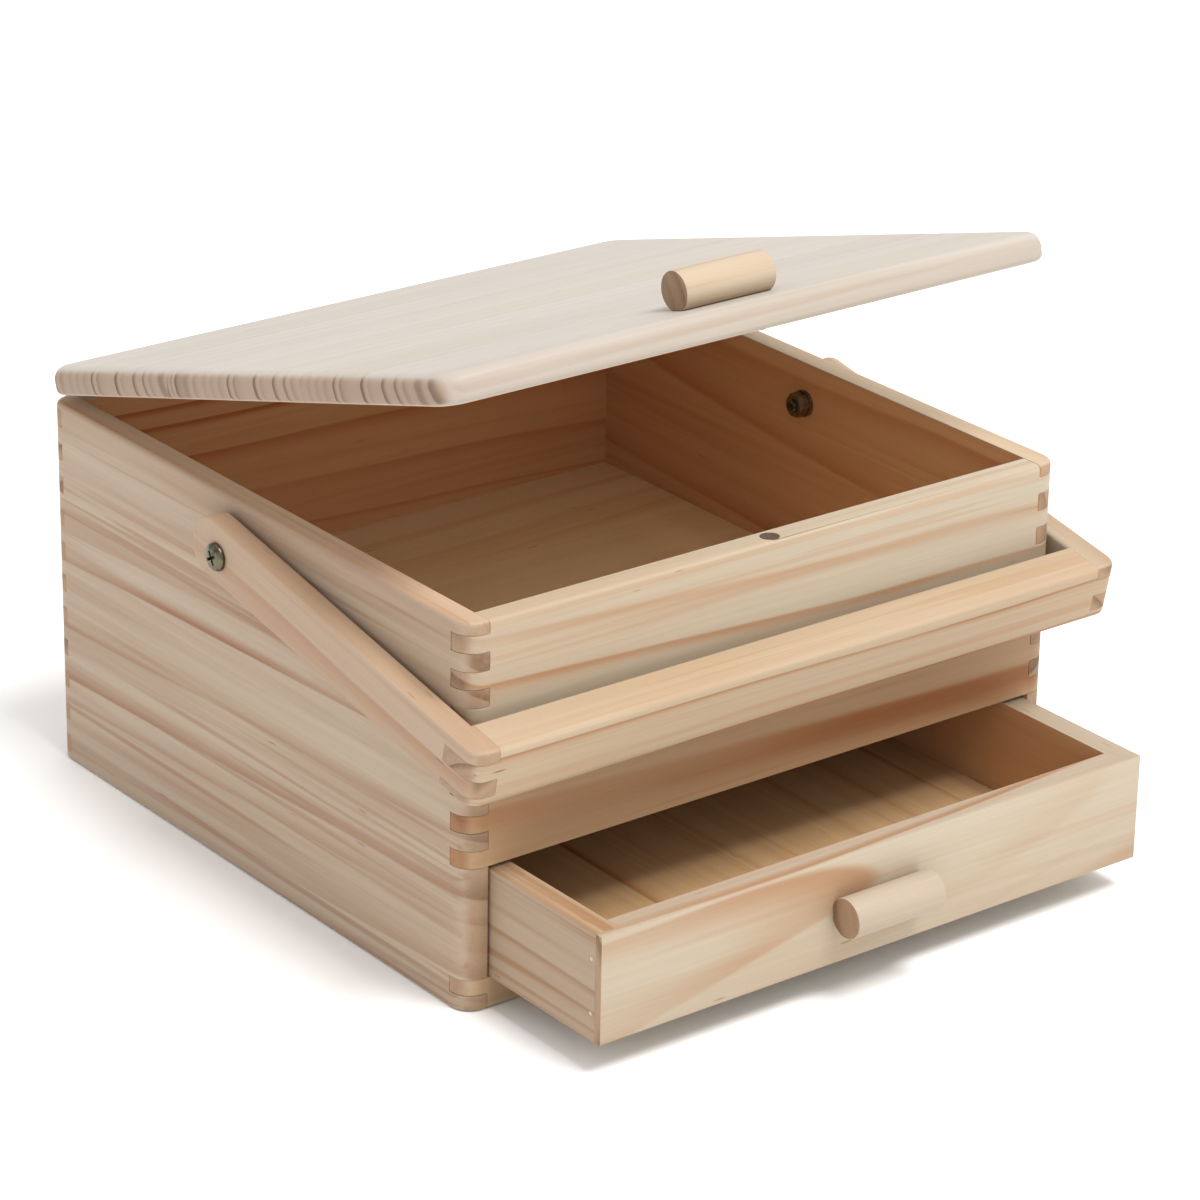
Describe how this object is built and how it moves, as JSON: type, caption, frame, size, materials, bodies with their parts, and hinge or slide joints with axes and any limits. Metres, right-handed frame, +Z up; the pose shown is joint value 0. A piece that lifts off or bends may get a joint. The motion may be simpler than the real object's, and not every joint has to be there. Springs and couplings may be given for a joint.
{
  "type": "sewing box",
  "caption": "Wooden box with finger-jointed corners, a hinged lid over an open compartment, a drawer below and a swinging carrying handle.",
  "frame": {"origin": "middle of the whole outline seen from above, on the floor under the box, with the lid part-open and the drawer part-drawn", "axes": "+Z up, -Y towards the drawer and front, +Y to the hinged back, +X to the right seen from the front"},
  "size_m": [0.3464, 0.4037, 0.279],
  "materials": {
    "case_wood": "aged pine, clear matt oil",
    "front_wood": "aged pine, clear matt oil",
    "panel_board": "thin pine-faced board, unfinished",
    "lid_wood": "pine, clear matt oil",
    "handle_wood": "aged pine, clear matt oil",
    "drawer_wood": "aged pine, clear matt oil",
    "hinge_brass": "dull brass",
    "bolt_steel": "nickel plated, dulled",
    "screw_steel": "zinc plated",
    "magnet_metal": "dark tarnished disc magnet"
  },
  "bodies": {
    "case": {"left_side_wall": "case_wood", "right_side_wall": "case_wood", "back_wall": "case_wood", "front_panel": "front_wood", "front_bottom_rail": "front_wood", "compartment_floor": "panel_board", "base_panel": "panel_board", "front_magnet": "magnet_metal", "hinge_leaf_wall_left": "hinge_brass", "hinge_leaf_wall_right": "hinge_brass", "hinge_pin_left": "hinge_brass", "hinge_pin_right": "hinge_brass", "hinge_screw_wall_left_outer": "hinge_brass", "hinge_screw_wall_left_inner": "hinge_brass", "hinge_screw_wall_right_outer": "hinge_brass", "hinge_screw_wall_right_inner": "hinge_brass", "pivot_bolt_left": "bolt_steel", "pivot_bolt_right": "bolt_steel", "pivot_nut_left": "bolt_steel", "pivot_nut_right": "bolt_steel", "pivot_washer_left": "bolt_steel", "pivot_washer_right": "bolt_steel", "pivot_spacer_left": "bolt_steel", "pivot_spacer_right": "bolt_steel"},
    "lid": {"lid_panel": "lid_wood", "lid_pull": "lid_wood", "lid_pull_screw_left": "screw_steel", "lid_pull_screw_right": "screw_steel", "lid_magnet": "magnet_metal", "hinge_leaf_lid_left": "hinge_brass", "hinge_leaf_lid_right": "hinge_brass", "hinge_screw_lid_left_outer": "hinge_brass", "hinge_screw_lid_left_inner": "hinge_brass", "hinge_screw_lid_right_outer": "hinge_brass", "hinge_screw_lid_right_inner": "hinge_brass"},
    "handle": {"handle_arm_left": "handle_wood", "handle_arm_right": "handle_wood", "handle_crossbar": "handle_wood"},
    "drawer": {"drawer_front": "drawer_wood", "drawer_side_left": "drawer_wood", "drawer_side_right": "drawer_wood", "drawer_back": "drawer_wood", "drawer_bottom": "drawer_wood", "drawer_pull": "drawer_wood", "drawer_pull_screw_left": "screw_steel", "drawer_pull_screw_right": "screw_steel", "drawer_brad_front_left_upper": "screw_steel", "drawer_brad_front_left_lower": "screw_steel", "drawer_brad_front_right_upper": "screw_steel", "drawer_brad_front_right_lower": "screw_steel", "drawer_brad_back_left_upper": "screw_steel", "drawer_brad_back_left_lower": "screw_steel", "drawer_brad_back_right_upper": "screw_steel", "drawer_brad_back_right_lower": "screw_steel"}
  },
  "joints": [
    {"name": "lid_hinge", "type": "hinge", "parent": "case", "child": "lid", "pos_m": [0, 0.19965, 0.17015], "axis": [-1, 0, 0], "range_deg": [-16.05, 88.95]},
    {"name": "handle_pivot", "type": "hinge", "parent": "case", "child": "handle", "pos_m": [0, 0.04215, 0.1508], "axis": [-1, 0, 0], "range_deg": [0, 42]},
    {"name": "drawer_slide", "type": "slide", "parent": "case", "child": "drawer", "axis": [0, -1, 0], "range_m": [-0.0724, 0.1566]}
  ]
}
